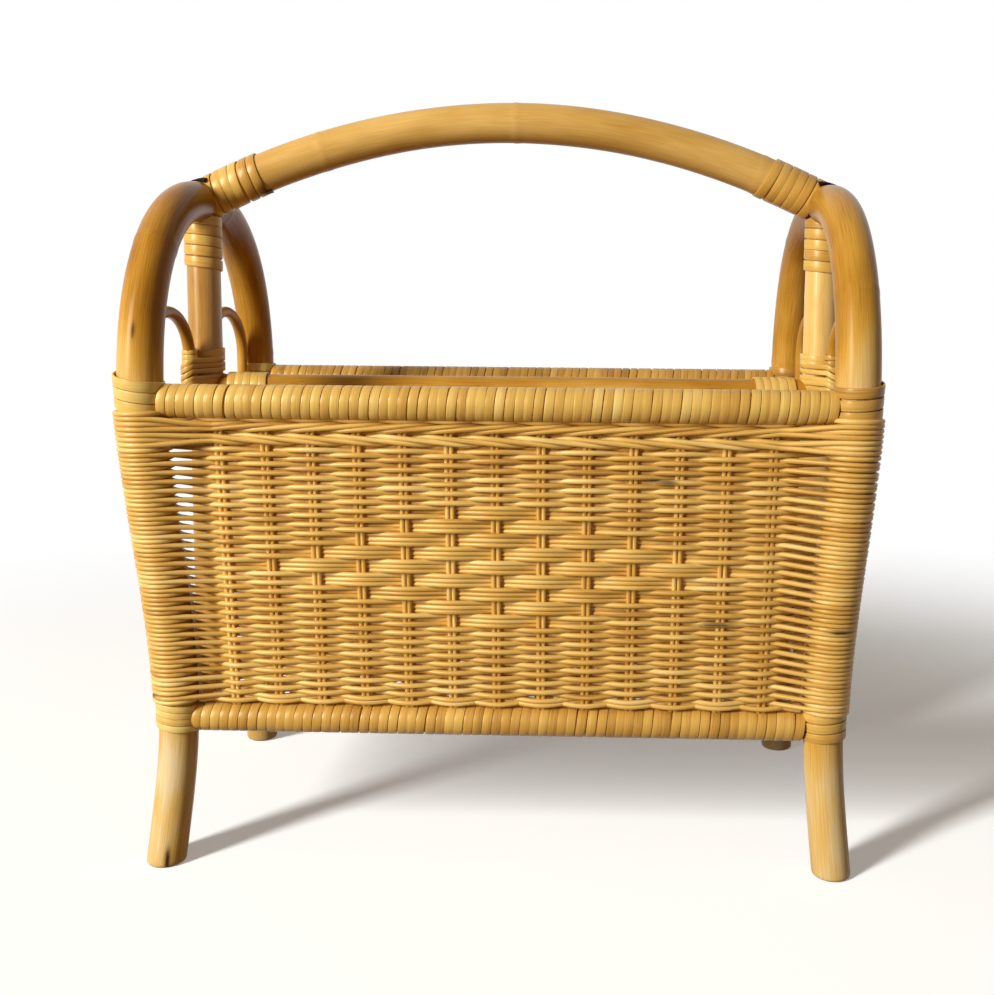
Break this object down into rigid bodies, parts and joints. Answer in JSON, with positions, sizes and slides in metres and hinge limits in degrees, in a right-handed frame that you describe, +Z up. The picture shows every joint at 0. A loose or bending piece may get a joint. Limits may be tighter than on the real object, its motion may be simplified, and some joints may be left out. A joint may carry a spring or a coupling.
{
  "type": "magazine basket",
  "caption": "Open-ended magazine basket with arched rattan ends, woven reed front and rear panels, a divider rail, splayed feet and a bowed carrying handle.",
  "frame": {"origin": "on the floor under the middle of the basket", "axes": "+Z up, +X towards the right end as seen from the front, -Y towards the front panel"},
  "size_m": [0.4318, 0.2714, 0.4604],
  "materials": {
    "pole": "honey rattan pole under clear satin lacquer",
    "handle_pole": "paler rattan pole under clear satin lacquer",
    "hoop_cane": "thin bent rattan core, darker in the shade, satin",
    "reed": "round woven reed, light satin",
    "cane": "flat binding cane, smooth satin skin",
    "nail": "plain steel nail, hidden in the joint"
  },
  "bodies": {
    "root": {"left_arch": "pole", "right_arch": "pole", "handle": "handle_pole", "left_handle_nail": "nail", "right_handle_nail": "nail", "left_post_nail": "nail", "right_post_nail": "nail", "left_bottom_rail": "pole", "left_post": "pole", "right_bottom_rail": "pole", "right_post": "pole", "front_top_rail": "pole", "front_bottom_rail": "pole", "rear_top_rail": "pole", "rear_bottom_rail": "pole", "divider_rail": "pole", "left_front_hoop": "hoop_cane", "left_rear_hoop": "hoop_cane", "right_front_hoop": "hoop_cane", "right_rear_hoop": "hoop_cane", "front_panel": "reed", "rear_panel": "reed", "base_panel": "reed", "left_handle_binding": "cane", "left_post_top_binding": "cane", "left_post_base_binding": "cane", "left_divider_binding": "cane", "left_front_top_corner_binding": "cane", "left_front_bottom_corner_binding": "cane", "left_rear_top_corner_binding": "cane", "left_rear_bottom_corner_binding": "cane", "right_handle_binding": "cane", "right_post_top_binding": "cane", "right_post_base_binding": "cane", "right_divider_binding": "cane", "right_front_top_corner_binding": "cane", "right_front_bottom_corner_binding": "cane", "right_rear_top_corner_binding": "cane", "right_rear_bottom_corner_binding": "cane", "front_top_rail_wrap": "cane", "front_bottom_rail_wrap": "cane", "rear_top_rail_wrap": "cane", "rear_bottom_rail_wrap": "cane"}
  },
  "joints": []
}
